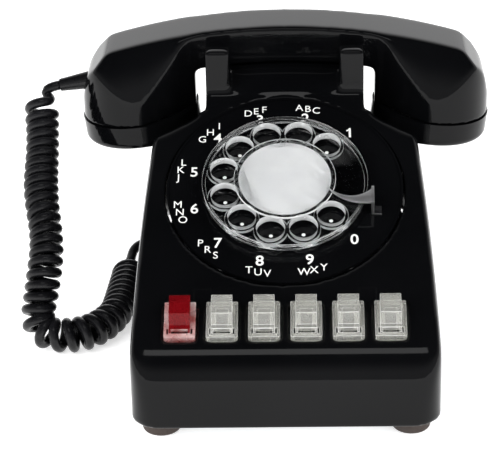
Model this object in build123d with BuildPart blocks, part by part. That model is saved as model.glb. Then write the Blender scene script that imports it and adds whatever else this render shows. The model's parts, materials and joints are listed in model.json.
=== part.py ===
from build123d import *
import math
import os

os.makedirs("parts", exist_ok=True)

# A six-key rotary desk telephone. Millimetres, +Z up, X to the right and +Y to the back of the set.
# The origin is on the table, under the middle of the housing. Distances written as "back" count from the
# front bottom edge of the housing.

# Driving dimensions
DEPTH = 236.0            # housing, front to back
HALF_WIDTH = 70.0        # housing at its rim
RIM_Z = 7.5              # lower rim of the housing above the table
WALL = 3.0
SLOPE = 26.2             # face plate above the horizontal, degrees
DIAL_BACK = 92.3         # dial centre, behind the front edge
DIAL_Z = 83.4            # dial centre, above the table
LIP_L = -99.8            # where the face plane meets the front wall, measured down the slope
FRONT_TOE = 0.64         # how far the front and rear walls' lines run out below the rim
REAR_TOE = 1.77
NECK_HALF = 38.6         # half width of the cradle neck
HANDSET_BACK = 172.8     # middle of the handset, behind the front edge
BASE_Z = 7.9             # underside of the steel base plate
BASE_T = 1.5

PLATE_R = 55.75          # number plate
WHEEL_R = 38.9           # finger wheel
HOLE_R = 6.65            # finger holes
HOLE_PITCH_R = 29.3
FIRST_HOLE = 47.0        # angle of the hole for digit 1
HOLE_STEP = 30.0
STOP_X = 40.4            # finger stop: inner face of its leg
STOP_L = (-16.4, -7.0)   # and the leg's reach down and up the slope
WHEEL_BACK_H = 2.6       # underside of the finger wheel above the face
WHEEL_FRONT_H = 6.6

KEY_PITCH = 18.9
KEY_COUNT = 6
KEY_L = -76.9            # middle of the key row, down the slope
KEY_W = 14.1
KEY_LEN = 19.3

EAR_IN = 26.6            # cradle ears, from the centre line
SADDLE_Z = 118.6         # top of the cradle saddle at the centre line
ARC_R = 300.0            # large radius of the handset's back and of the saddle

EAR_TOP_Z = 131.8
EAR_FRONT = 145.4        # front face of the front ears, behind the front edge
TROUGH = (155.4, 190.2)  # the handle's trough, from front ears to rear ears
NECK_BACK = 201.0        # rear face of the rear ears
HOLD_BACK = 186.0        # wall of the hand-hold under the rear ears

COS, SIN = math.cos(math.radians(SLOPE)), math.sin(math.radians(SLOPE))


SADDLE_FOOT_Z = DIAL_Z + 58 * SIN + 2


def back(d):
    """Row y of a distance behind the front bottom edge."""
    return d - DEPTH / 2


def on_face(l, h=0.0):
    """(y, z) of a point l up the slope from the dial centre and h out of the face."""
    return (back(DIAL_BACK) + l * COS - h * SIN, DIAL_Z + l * SIN + h * COS)


def face_at(h):
    """The face plane, moved out by h: its x is the set's X and its y runs up the slope."""
    y, z = on_face(0, h)
    return Plane(origin=(0, y, z), x_dir=(1, 0, 0), z_dir=(0, -SIN, COS))


def face_spot(x, l, h, turn=0.0):
    """A plane parallel to the face, with its origin at (x, l) and its x turned by an angle."""
    y, z = on_face(l, h)
    c, s = math.cos(math.radians(turn)), math.sin(math.radians(turn))
    return Plane(origin=(x, y, z), x_dir=(c, s * COS, s * SIN), z_dir=(0, -SIN, COS))


def face_section():
    """The upright plane through the dial's axis: its x is the set's X and its y runs out of the face."""
    return Plane(origin=(0, *on_face(0)), x_dir=(1, 0, 0), z_dir=(0, -COS, -SIN))


def polar(radius, angle):
    return (radius * math.cos(math.radians(angle)), radius * math.sin(math.radians(angle)))


def save(piece, name):
    piece.label = name
    export_step(piece, f"parts/{name}.step")


def gear_outline(teeth, module, backlash=0.16):
    """Straight-flanked tooth outline with a short addendum, as in small clock trains."""
    pitch_r = teeth * module / 2
    tip_r, root_r = pitch_r + 0.75 * module, pitch_r - 1.1 * module
    half_pitch = 180.0 / teeth
    points = []
    for k in range(teeth):
        middle = k * 2 * half_pitch
        for radius, share in ((root_r, -0.72), (tip_r, -0.2), (tip_r, 0.2), (root_r, 0.72)):
            points.append(polar(radius, middle + share * (1 - backlash) * half_pitch))
    return Polyline(*points, close=True)


# ---------------------------------------------------------------- housing and base

def wide_form(inset):
    """The body below the cradle: three outlines, seen from the front, the side and above, in common."""
    y_front, y_back = back(0), back(DEPTH)
    with BuildPart() as form:
        with BuildSketch(Plane.XZ):
            with BuildLine():
                Polyline((0, 0), (HALF_WIDTH, 0), (HALF_WIDTH, 32))
                ThreePointArc((HALF_WIDTH, 32), (68.3, 62.5), (63.2, 98))
                Polyline((63.2, 98), (61.2, 112), (0, 112), (0, 0))
            make_face()
            mirror(about=Plane.YZ)
            offset(amount=-inset)
        extrude(amount=DEPTH, both=True)
        with BuildSketch(Plane.YZ):
            with BuildLine():
                FilletPolyline(
                    (back(-FRONT_TOE), 0), (back(2.7), on_face(LIP_L)[1]), on_face(35.5), (back(141), 76),
                    (back(226), 50), (back(DEPTH + REAR_TOE), 0), radius=[21, 6, 24, 16])
                Line((back(DEPTH + REAR_TOE), 0), (back(-FRONT_TOE), 0))
            make_face()
            offset(amount=-inset)
        extrude(amount=DEPTH, both=True, mode=Mode.INTERSECT)
        with BuildSketch(Plane.XY):
            with BuildLine():
                FilletPolyline(
                    (0, y_front), (HALF_WIDTH, y_front), (HALF_WIDTH, back(150)),
                    (HALF_WIDTH - 3, y_back), (0, y_back), radius=[13, 60, 20])
                Line((0, y_back), (0, y_front))
            make_face()
            mirror(about=Plane.YZ)
            offset(amount=-inset)
        extrude(amount=DEPTH, both=True, mode=Mode.INTERSECT)
    return form.part


def neck_plan(inset):
    """Plan of the neck, flared forward to meet the upper corners of the face."""
    with BuildSketch(Plane.XY) as plan:
        with BuildLine():
            Polyline(
                (0, back(100)), (60, back(100)), (63.4, on_face(33.5)[0]), (NECK_HALF, on_face(51)[0]),
                (NECK_HALF, back(NECK_BACK)), (0, back(NECK_BACK)), (0, back(100)))
        make_face()
        mirror(about=Plane.YZ)
        offset(amount=-inset)
    return plan.sketch


def neck_form():
    """The neck that carries the cradle, with the blocks that its four ears are cut from."""
    with BuildPart() as form:
        add(neck_plan(0))
        extrude(amount=150)
        with BuildSketch(Plane.YZ):
            with BuildLine():
                Polyline(
                    (back(100), 0), (back(100), on_face(8.6)[1]), on_face(58), (back(EAR_FRONT), SADDLE_FOOT_Z),
                    (back(EAR_FRONT), EAR_TOP_Z), (back(NECK_BACK), EAR_TOP_Z), (back(NECK_BACK), 115),
                    (back(HOLD_BACK), 108), (back(HOLD_BACK), 0), close=True)
            make_face()
        extrude(amount=DEPTH, both=True, mode=Mode.INTERSECT)
    return form.part


def neck_room():
    """The hollow inside the neck."""
    with BuildPart() as form:
        add(neck_plan(WALL))
        extrude(amount=150)
        with BuildSketch(Plane.YZ):
            with BuildLine():
                Polyline(
                    (back(104), 0), on_face(13, -WALL), on_face(50, -WALL), (back(150), SADDLE_Z - 7),
                    (back(HOLD_BACK - WALL), SADDLE_Z - 7), (back(HOLD_BACK - WALL), 0), close=True)
            make_face()
        extrude(amount=DEPTH, both=True, mode=Mode.INTERSECT)
    return form.part


def saddle_cut():
    """The trough that the handle lies in, and the gap between the two pairs of ears."""
    with BuildPart() as cut:
        with BuildSketch(Plane.XZ.offset(-back(TROUGH[0]))):
            with BuildLine():
                Line((-60, 160), (-60, SADDLE_Z - 60 ** 2 / (2 * ARC_R)))
                ThreePointArc((-60, SADDLE_Z - 60 ** 2 / (2 * ARC_R)), (0, SADDLE_Z),
                              (60, SADDLE_Z - 60 ** 2 / (2 * ARC_R)))
                Polyline((60, SADDLE_Z - 60 ** 2 / (2 * ARC_R)), (60, 160), (-60, 160))
            make_face()
        extrude(amount=-(TROUGH[1] - TROUGH[0]))
        with BuildSketch(Plane.YZ):
            with BuildLine():
                Polyline(
                    (back(EAR_FRONT), SADDLE_FOOT_Z), (back(158), SADDLE_Z), (back(158), 160),
                    (back(140), 160), (back(140), 118), close=True)
            make_face()
            with BuildLine():
                Polyline((back(188), SADDLE_Z), (back(201), 113.5), (back(210), 113.5), (back(210), 160),
                         (back(188), 160), close=True)
            make_face()
        extrude(amount=EAR_IN, both=True)
    return cut.part



def key_x(k):
    """X of key k, counted from the left."""
    return (k - (KEY_COUNT - 1) / 2) * KEY_PITCH


CORD_SIDE_Y, CORD_SIDE_Z = back(175), 15.0
LINE_X, LINE_Z = 0.0, 18.0
REAR_LEAN = math.degrees(math.atan2(10 + REAR_TOE, 50))
PLUNGER_X, PLUNGER_Y = 30.0, back(HANDSET_BACK)
PLUNGER_R = 3.9
SCREW_SPOTS = [(-52, back(66)), (52, back(66)), (-38, back(214)), (38, back(214))]
FOOT_SPOTS = [(-56.5, back(15)), (56.5, back(15)), (-54, back(220)), (54, back(220))]


def line_plane(out):
    """Across the line cord's inlet in the rear wall, moved out of the wall."""
    lean = math.radians(REAR_LEAN)
    wall_y = back(DEPTH + REAR_TOE - LINE_Z * math.tan(lean))
    origin = (LINE_X, wall_y + out * math.cos(lean), LINE_Z + out * math.sin(lean))
    return Plane(origin=origin, x_dir=(1, 0, 0), z_dir=(0, math.cos(lean), math.sin(lean)))


with BuildPart() as housing:
    add(wide_form(0))
    add(neck_form())
    add(saddle_cut(), mode=Mode.SUBTRACT)
    add(wide_form(WALL), mode=Mode.SUBTRACT)
    add(neck_room(), mode=Mode.SUBTRACT)
    split(bisect_by=Plane.XY.offset(RIM_Z), keep=Keep.TOP)
    with BuildSketch(face_at(4)):
        Circle(PLATE_R + 0.35)
    extrude(amount=-9, mode=Mode.SUBTRACT)
    with BuildSketch(face_at(4)):
        with Locations([(key_x(k), KEY_L) for k in range(KEY_COUNT)]):
            Rectangle(KEY_W + 0.8, KEY_LEN + 0.8)
    extrude(amount=-9, mode=Mode.SUBTRACT)
    with BuildSketch(Plane.XY.offset(SADDLE_Z + 2)):
        with Locations((-PLUNGER_X, PLUNGER_Y), (PLUNGER_X, PLUNGER_Y)):
            Circle(PLUNGER_R + 0.35)
    extrude(amount=-12, mode=Mode.SUBTRACT)
    with BuildSketch(line_plane(6)):
        Circle(5.0)
    extrude(amount=-14, mode=Mode.SUBTRACT)
    with BuildSketch(Plane.YZ.offset(-HALF_WIDTH - 5)):
        with Locations((CORD_SIDE_Y, CORD_SIDE_Z)):
            Circle(4.4)
    extrude(amount=14, mode=Mode.SUBTRACT)
    with BuildSketch(Plane.YZ.offset(-HALF_WIDTH - 5)):
        with Locations((CORD_SIDE_Y, CORD_SIDE_Z)):
            Circle(6.1)
    extrude(amount=6.35, mode=Mode.SUBTRACT)
save(housing.part, "housing")

with BuildPart() as base_plate:
    with BuildSketch(Plane.XY.offset(BASE_Z)):
        with BuildLine():
            FilletPolyline(
                (0, back(0)), (HALF_WIDTH, back(0)), (HALF_WIDTH, back(150)),
                (HALF_WIDTH - 3, back(DEPTH)), (0, back(DEPTH)), radius=[13, 60, 20])
            Line((0, back(DEPTH)), (0, back(0)))
        make_face()
        mirror(about=Plane.YZ)
        offset(amount=-WALL - 2.4)
        with Locations(*SCREW_SPOTS):
            Circle(2.1, mode=Mode.SUBTRACT)
        with Locations((WHEEL_SPOT := (46, back(196)))):
            Circle(2.3, mode=Mode.SUBTRACT)
    extrude(amount=BASE_T)
save(base_plate.part, "base_plate")

with BuildPart() as rubber_feet:
    with Locations(*[(x, y, 0) for x, y in FOOT_SPOTS]):
        Cylinder(8.8, BASE_Z - 1, align=(Align.CENTER, Align.CENTER, Align.MIN))
    fillet(rubber_feet.edges().filter_by(GeomType.CIRCLE).group_by(Axis.Z)[0], 1.6)
    with Locations(*[(x, y, BASE_Z - 1) for x, y in FOOT_SPOTS]):
        Cylinder(7.4, 1, align=(Align.CENTER, Align.CENTER, Align.MIN))
save(rubber_feet.part, "rubber_feet")

with BuildPart() as housing_screws:
    with Locations(*[(x, y, BASE_Z - 2.2) for x, y in SCREW_SPOTS]):
        Cylinder(3.6, 2.2, align=(Align.CENTER, Align.CENTER, Align.MIN))
    with Locations(*[(x, y, BASE_Z) for x, y in SCREW_SPOTS]):
        Cylinder(2.0, 9, align=(Align.CENTER, Align.CENTER, Align.MIN))
    with Locations(*[(x, y, BASE_Z - 2.2) for x, y in SCREW_SPOTS]):
        Box(5.4, 0.9, 1.0, align=(Align.CENTER, Align.CENTER, Align.MIN), mode=Mode.SUBTRACT)
save(housing_screws.part, "housing_screws")


# ---------------------------------------------------------------- dial

def dial_disc(outer, inner, h_from, h_to):
    """A flat ring on the dial's axis."""
    with BuildPart() as disc:
        with BuildSketch(face_at(h_from)):
            Circle(outer)
            if inner:
                Circle(inner, mode=Mode.SUBTRACT)
        extrude(amount=h_to - h_from)
    return disc.part


SHAFT_R = 3.175
PINION_TEETH, GEAR_TEETH, MODULE = 12, 72, 0.7
PINION_AT = (-(PINION_TEETH + GEAR_TEETH) * MODULE / 2, 0)
PINION_R = 1.6
GEAR_H = (-9.6, -8.1)
BACK_PLATE_H = (-21.0, -19.5)
PILLARS = [(x, y) for x in (-38, 38) for y in (-15, 15)]
WORM_X, WORM_H = -19.9, -16.2
GOVERNOR_R = 1.2
CUP_L = (28.0, 35.5)


def dial_across(l):
    """A plane across the governor's axis, which runs up the slope behind the dial."""
    y, z = on_face(l, WORM_H)
    return Plane(origin=(WORM_X, y, z), x_dir=(1, 0, 0), z_dir=(0, COS, SIN))


with BuildPart() as number_plate:
    add(dial_disc(PLATE_R, 9.5, -1.5, 0))
    add(dial_disc(PLATE_R, PLATE_R - 1.0, 0, 0.5))
save(number_plate.part, "number_plate")

HOLES = [polar(HOLE_PITCH_R, FIRST_HOLE + HOLE_STEP * k) for k in range(10)]

with BuildPart() as finger_wheel:
    with BuildSketch(face_at(WHEEL_FRONT_H - 2.6)):
        Circle(WHEEL_R)
        Circle(3.4, mode=Mode.SUBTRACT)
    extrude(amount=2.6)
    with BuildSketch(face_at(WHEEL_BACK_H)):
        Circle(WHEEL_R)
        Circle(WHEEL_R - 1.6, mode=Mode.SUBTRACT)
        Circle(17.0)
        Circle(3.4, mode=Mode.SUBTRACT)
        with Locations(*HOLES):
            Circle(HOLE_R + 1.4)
    extrude(amount=WHEEL_FRONT_H - 2.6 - WHEEL_BACK_H)
    with BuildSketch(face_at(WHEEL_BACK_H - 1)):
        with Locations(*HOLES):
            Circle(HOLE_R)
    extrude(amount=8, mode=Mode.SUBTRACT)
save(finger_wheel.part, "finger_wheel")

save(dial_disc(21.5, 0, WHEEL_FRONT_H, WHEEL_FRONT_H + 0.3), "number_card")

with BuildPart() as card_retainer:
    add(dial_disc(23.9, 21.6, WHEEL_FRONT_H, WHEEL_FRONT_H + 0.3))
    add(dial_disc(23.9, 0, WHEEL_FRONT_H + 0.3, WHEEL_FRONT_H + 1.3))
save(card_retainer.part, "card_retainer")

with BuildPart() as dial_main_shaft:
    add(dial_disc(SHAFT_R, 0, BACK_PLATE_H[0] - 1.5, WHEEL_FRONT_H - 0.2))
    add(dial_disc(14.0, 0, WHEEL_BACK_H - 1.4, WHEEL_BACK_H))
save(dial_main_shaft.part, "dial_main_shaft")

with BuildPart() as main_gear:
    with BuildSketch(face_at(GEAR_H[0])):
        with BuildLine():
            gear_outline(GEAR_TEETH, MODULE)
        make_face()
        Circle(SHAFT_R, mode=Mode.SUBTRACT)
        with PolarLocations(15.5, 5):
            Circle(4.2, mode=Mode.SUBTRACT)
    extrude(amount=GEAR_H[1] - GEAR_H[0])
save(main_gear.part, "main_gear")

with BuildPart() as pinion_shaft:
    with BuildSketch(face_spot(*PINION_AT, GEAR_H[0] - 1, 180 / PINION_TEETH)):
        with BuildLine():
            gear_outline(PINION_TEETH, MODULE)
        make_face()
    extrude(amount=GEAR_H[1] - GEAR_H[0] + 2)
    with BuildSketch(face_spot(*PINION_AT, BACK_PLATE_H[0] - 1)):
        Circle(PINION_R)
    extrude(amount=-BACK_PLATE_H[0] + 1 - 2.2)
save(pinion_shaft.part, "pinion_shaft")

with BuildPart() as pulse_cam:
    with BuildSketch(face_spot(*PINION_AT, -13.6)):
        Ellipse(5.2, 3.6)
        Circle(PINION_R, mode=Mode.SUBTRACT)
    extrude(amount=1.6)
save(pulse_cam.part, "pulse_cam")

with BuildPart() as worm_wheel:
    with BuildSketch(face_spot(*PINION_AT, -18.0)):
        with BuildLine():
            gear_outline(30, 0.4)
        make_face()
        Circle(PINION_R, mode=Mode.SUBTRACT)
    extrude(amount=2.2)
save(worm_wheel.part, "worm_wheel")

with BuildPart() as dial_frame:
    add(dial_disc(52.0, SHAFT_R + 0.05, -4.2, -1.5))
    add(dial_disc(6.5, SHAFT_R + 0.05, -7.6, -4.2))
    with BuildSketch(face_at(-4.2)):
        with Locations(*[polar(24.0, a) for a in (45, 135, 225, 315)]):
            Circle(10.0)
    extrude(amount=3, mode=Mode.SUBTRACT)
    with BuildSketch(face_spot(*PINION_AT, -4.2)):
        Circle(PINION_R + 0.06)
    extrude(amount=3, mode=Mode.SUBTRACT)
    with BuildSketch(face_at(BACK_PLATE_H[1])):
        with Locations(*PILLARS):
            Circle(2.6)
    extrude(amount=-4.2 - BACK_PLATE_H[1])
save(dial_frame.part, "dial_frame")

with BuildPart() as dial_back_plate:
    with BuildSketch(face_at(BACK_PLATE_H[0])):
        RectangleRounded(86, 40, 6)
        Circle(SHAFT_R + 0.05, mode=Mode.SUBTRACT)
        with Locations(PINION_AT):
            Circle(PINION_R + 0.06, mode=Mode.SUBTRACT)
    extrude(amount=BACK_PLATE_H[1] - BACK_PLATE_H[0])
    with BuildSketch(face_at(BACK_PLATE_H[1])):
        with Locations((WORM_X, -9)):
            Rectangle(4.6, 2.0)
    extrude(amount=WORM_H - BACK_PLATE_H[1] + 2.6)
    with BuildSketch(dial_across(-11)):
        Circle(GOVERNOR_R + 0.06)
    extrude(amount=4, mode=Mode.SUBTRACT)
save(dial_back_plate.part, "dial_back_plate")

with BuildPart() as governor_cup:
    with BuildSketch(dial_across(CUP_L[0])):
        Circle(7.4)
    extrude(amount=CUP_L[1] - CUP_L[0])
    with BuildSketch(dial_across(CUP_L[0] + 1.2)):
        Circle(6.3)
    extrude(amount=CUP_L[1], mode=Mode.SUBTRACT)
    with BuildSketch(face_at(BACK_PLATE_H[0])):
        with Locations((WORM_X, (20 + CUP_L[0] + 1) / 2)):
            Rectangle(9, CUP_L[0] + 1 - 20)
    extrude(amount=BACK_PLATE_H[1] - BACK_PLATE_H[0])
    with BuildSketch(dial_across(CUP_L[0] - 20)):
        Circle(GOVERNOR_R + 0.06)
    extrude(amount=30, mode=Mode.SUBTRACT)
save(governor_cup.part, "governor_cup")

with BuildPart() as governor_shaft:
    with BuildSketch(dial_across(-9.8)):
        Circle(GOVERNOR_R)
    extrude(amount=CUP_L[1] + 9.8 - 1)
    with BuildSketch(dial_across(-6)):
        Circle(3.0)
    extrude(amount=12)
    with BuildSketch(dial_across(CUP_L[0] + 1.8)):
        Circle(5.6)
        Rectangle(1.6, 14, mode=Mode.SUBTRACT)
        Circle(2.4)
    extrude(amount=4.2)
save(governor_shaft.part, "governor_shaft")

with BuildPart() as dial_return_spring:
    with BuildSketch(face_section()):
        with Locations(*[(5.4, -17.8 + 0.9 * k) for k in range(8)]):
            Circle(0.55)
    revolve(axis=Axis(face_at(0).origin, face_at(0).z_dir))
save(dial_return_spring.part, "dial_return_spring")

with BuildPart() as pulse_contacts:
    with BuildSketch(face_at(-16.2)):
        with Locations(*[(PINION_AT[0] - 6.6 - 1.4 * k, -3.5) for k in range(3)]):
            Rectangle(0.4, 15)
    extrude(amount=4.6)
    with BuildSketch(face_at(BACK_PLATE_H[1])):
        with Locations((PINION_AT[0] - 8.0, -9)):
            Rectangle(4.6, 3.6)
    extrude(amount=-11.0 - BACK_PLATE_H[1])
save(pulse_contacts.part, "pulse_contacts")

with BuildPart() as finger_stop:
    with BuildSketch(face_spot(0, 0, 8.6)):
        with BuildLine():
            Spline((20.1, -7.2), (24.6, -11.0), (31.0, -12.7), (37.2, -11.0), (STOP_X + 1.2, STOP_L[1]))
            Line((STOP_X + 1.2, STOP_L[1]), (STOP_X + 1.2, STOP_L[0]))
            Spline((STOP_X + 1.2, STOP_L[0]), (33.0, -16.2), (26.4, -13.6), (20.1, -7.2))
        make_face()
    extrude(amount=1.1)
    with BuildSketch(face_spot(STOP_X + 0.6, sum(STOP_L) / 2, 5.2)):
        Rectangle(1.2, STOP_L[1] - STOP_L[0])
    extrude(amount=4.5)
    with BuildSketch(face_spot(STOP_X + 0.6, STOP_L[0] + 2.2, 0.0)):
        Rectangle(1.2, 4.4)
    extrude(amount=6.0)
    with BuildSketch(face_spot(STOP_X + 2.4, STOP_L[0] + 2.2, 0.0)):
        Rectangle(4.8, 4.4)
    extrude(amount=0.9)
save(finger_stop.part, "finger_stop")

with BuildPart() as dial_screws:
    with BuildSketch(face_spot(STOP_X + 3.1, STOP_L[0] + 2.2, 0.9)):
        Circle(1.4)
    extrude(amount=0.8)
    with BuildSketch(face_spot(0, 0, BACK_PLATE_H[0] - 1.6)):
        with Locations(*PILLARS):
            Circle(2.4)
    extrude(amount=1.6)
save(dial_screws.part, "dial_screws")

with BuildPart() as dial_bracket:
    with Locations(*[(x, back(DIAL_BACK), BASE_Z + BASE_T) for x in (-46.5, 46.5)]):
        Box(3.0, 16, 90, align=(Align.CENTER, Align.CENTER, Align.MIN))
    with Locations(*[(x, back(DIAL_BACK), BASE_Z + BASE_T) for x in (-50, 50)]):
        Box(8.0, 16, 1.6, align=(Align.CENTER, Align.CENTER, Align.MIN))
    split(bisect_by=face_at(-4.2), keep=Keep.BOTTOM)
save(dial_bracket.part, "dial_bracket")


# ---------------------------------------------------------------- keys

FRAME_TOP_H = -8.6
STEM = (5.0, 9.0)
LATCH_H = (-15.6, -14.2)

with BuildPart() as key_frame:
    with BuildSketch(face_at(FRAME_TOP_H)):
        with Locations((0, KEY_L)):
            Rectangle(124, 28)
    extrude(amount=-18)
    with BuildSketch(face_at(FRAME_TOP_H - 1.4)):
        with Locations((0, KEY_L)):
            Rectangle(130, 25.2)
    extrude(amount=-20, mode=Mode.SUBTRACT)
    with BuildSketch(face_at(FRAME_TOP_H - 1.4 - 4)):
        with Locations((0, KEY_L)):
            Rectangle(124, 28)
    extrude(amount=-1.4)
    with BuildSketch(face_at(FRAME_TOP_H)):
        with Locations(*[(key_x(k), KEY_L) for k in range(KEY_COUNT)]):
            Rectangle(STEM[0] + 0.6, STEM[1] + 0.6)
    extrude(amount=-9, mode=Mode.SUBTRACT)
    with BuildSketch(face_at(FRAME_TOP_H)):
        with Locations((-62.0, KEY_L - 4), (62.0, KEY_L - 4)):
            Rectangle(1.6, 14)
    extrude(amount=-22)
    with Locations(*[(x, back(36), BASE_Z + BASE_T) for x in (-62.0, 62.0)]):
        Box(1.6, 14, 24, align=(Align.CENTER, Align.CENTER, Align.MIN))
save(key_frame.part, "key_frame")


def make_key(x):
    """A clear moulded key: a flange, a stepped finger block and a stem that runs in the key frame."""
    top, low = 8.4, 3.6
    with BuildPart() as key:
        with BuildSketch(face_spot(x, KEY_L, -2.0)):
            RectangleRounded(KEY_W, KEY_LEN, 0.6)
        extrude(amount=4.0)
        with BuildSketch(Plane.YZ.offset(x)):
            with BuildLine():
                Polyline(
                    on_face(KEY_L - 8.0, 1.5), on_face(KEY_L - 5.9, low - 0.2), on_face(KEY_L - 4.1, low),
                    on_face(KEY_L - 0.7, top - 0.5), on_face(KEY_L + 8.9, top), on_face(KEY_L + 9.2, 1.5),
                    close=True)
            make_face()
        extrude(amount=4.7, both=True)
        with BuildSketch(face_spot(x, KEY_L, -3.0)):
            Rectangle(11.2, 16.4)
        extrude(amount=4.0, mode=Mode.SUBTRACT)
        with BuildSketch(face_spot(x, KEY_L - 6.8, 0.5)):
            Rectangle(7.6, 1.5)
            with Locations((-5.4, 0.5), (5.4, 0.5)):
                Rectangle(0.9, 3.2)
        extrude(amount=5.0, mode=Mode.SUBTRACT)
        with BuildSketch(face_spot(x, KEY_L, 1.0)):
            Rectangle(*STEM)
        extrude(amount=-23.0)
    return key.part


key_names = ["hold_key"] + [f"line_key_{k}" for k in range(1, KEY_COUNT)]
for k, name in enumerate(key_names):
    save(make_key(key_x(k)), name)

with BuildPart() as key_latch_bar:
    with BuildSketch(face_at(LATCH_H[0] - 1.6)):
        with Locations((0, KEY_L)):
            Rectangle(118, 20)
        with Locations(*[(key_x(k), KEY_L) for k in range(KEY_COUNT)]):
            Rectangle(STEM[0] + 4.6, STEM[1] + 0.8, mode=Mode.SUBTRACT)
    extrude(amount=1.2)
save(key_latch_bar.part, "key_latch_bar")

with BuildPart() as key_springs:
    for k in range(KEY_COUNT):
        with BuildSketch(Plane(origin=(key_x(k), *on_face(KEY_L)), x_dir=(1, 0, 0), z_dir=(0, -COS, -SIN))):
            with Locations(*[(1.9, -22.9 - 0.8 * n) for n in range(5)]):
                Circle(0.5)
        revolve(axis=Axis(face_spot(key_x(k), KEY_L, 0).origin, face_at(0).z_dir))
save(key_springs.part, "key_springs")

with BuildPart() as key_lamps:
    for k in range(1, KEY_COUNT):
        with BuildSketch(face_spot(key_x(k), KEY_L - 6.3, FRAME_TOP_H)):
            Circle(1.3)
        extrude(amount=4.0)
save(key_lamps.part, "key_lamps")

with BuildPart() as key_contacts:
    with BuildSketch(face_at(-26.7)):
        with Locations((0, KEY_L)):
            Rectangle(122, 25.0)
    extrude(amount=-1.4)
    with BuildSketch(face_at(-28.1)):
        with Locations(*[(key_x(k), KEY_L + 9) for k in range(KEY_COUNT)]):
            Rectangle(9, 5)
    extrude(amount=-4.0)
    with BuildSketch(face_at(-32.1)):
        with Locations(*[(key_x(k) + dx, KEY_L + 9) for k in range(KEY_COUNT) for dx in (-3, -1, 1, 3)]):
            Rectangle(0.5, 3)
    extrude(amount=-5.0)
save(key_contacts.part, "key_contacts")


# ---------------------------------------------------------------- hook switch

HANDLE_HALF = 14.6
UNDER_Z = 119.4          # underside of the handle at its middle
PIN_Y, PIN_Z = back(153.5), 99.0
BRACKET_X = 24.0

with BuildPart() as hook_bracket:
    with Locations((0, back(146.9), BASE_Z + BASE_T)):
        Box(2 * BRACKET_X, 1.5, 94 - BASE_T, align=(Align.CENTER, Align.CENTER, Align.MIN))
        Box(2 * BRACKET_X, 14, 1.5, align=(Align.CENTER, Align.MAX, Align.MIN))
    with Locations(*[(x, back(146.9) + 5, PIN_Z) for x in (-BRACKET_X + 0.75, BRACKET_X - 0.75)]):
        Box(1.5, 11, 9)
    with Locations((0, PIN_Y, PIN_Z)):
        Cylinder(1.25, 80, rotation=(0, 90, 0), mode=Mode.SUBTRACT)
save(hook_bracket.part, "hook_bracket")

with BuildPart() as hook_pin:
    with Locations((0, PIN_Y, PIN_Z)):
        Cylinder(1.25, 2 * BRACKET_X + 1.6, rotation=(0, 90, 0))
save(hook_pin.part, "hook_pin")

with BuildPart() as hook_lever:
    with BuildSketch(Plane.YZ.offset(-BRACKET_X + 2.2)):
        with BuildLine():
            Polyline(
                (PIN_Y - 3.0, PIN_Z - 3), (PIN_Y - 3.0, PIN_Z + 3), (PIN_Y + 3, PIN_Z + 3),
                (PLUNGER_Y + 4, PIN_Z + 2.4), (PLUNGER_Y + 4, PIN_Z + 0.8), (PIN_Y + 3, PIN_Z - 3), close=True)
        make_face()
        with Locations((PIN_Y, PIN_Z)):
            Circle(1.3, mode=Mode.SUBTRACT)
    extrude(amount=1.5)
    mirror(about=Plane.YZ)
    with BuildSketch(Plane.XY.offset(PIN_Z + 0.9)):
        with Locations((0, PLUNGER_Y)):
            Rectangle(2 * PLUNGER_X + 8, 4)
    extrude(amount=1.5)
save(hook_lever.part, "hook_lever")

for name, x in (("hook_plunger_left", -PLUNGER_X), ("hook_plunger_right", PLUNGER_X)):
    tip_z = UNDER_Z - x ** 2 / (2 * ARC_R) - 1.0
    with BuildPart() as plunger:
        with Locations((x, PLUNGER_Y, PIN_Z + 3.2)):
            Cylinder(PLUNGER_R, tip_z - PIN_Z - 3.2, align=(Align.CENTER, Align.CENTER, Align.MIN))
        fillet(plunger.edges().filter_by(GeomType.CIRCLE).sort_by(Axis.Z)[-1], 0.8)
        with Locations((x, PLUNGER_Y, PIN_Z + 3.2)):
            Cylinder(PLUNGER_R + 1.0, 1.2, align=(Align.CENTER, Align.CENTER, Align.MIN))
    save(plunger.part, name)

with BuildPart() as hook_contacts:
    with Locations(*[(dx, back(149.8), 74) for dx in (-3, 0, 3)]):
        Box(2.4, 0.4, 22)
    with Locations(*[(dx, back(151.4), 74) for dx in (-3, 0, 3)]):
        Box(2.4, 0.4, 22)
    with Locations((0, back(150.5), 66)):
        Box(12, 5.7, 8)
save(hook_contacts.part, "hook_contacts")

with BuildPart() as hook_spring:
    with BuildSketch(Plane.XZ.offset(-back(157))):
        with Locations(*[(15 + 2.2, 76 + 1.0 * n) for n in range(20)]):
            Circle(0.6)
    revolve(axis=Axis((15, back(157), 0), (0, 0, 1)))
save(hook_spring.part, "hook_spring")


# ---------------------------------------------------------------- ringer and network

GONG_X, GONG_Y, GONG_Z = 30.0, back(203), 18.0
GONG_R, GONG_TALL = 25.0, 15.0
CLAPPER_Y, CLAPPER_Z = back(166), 24.0

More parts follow.
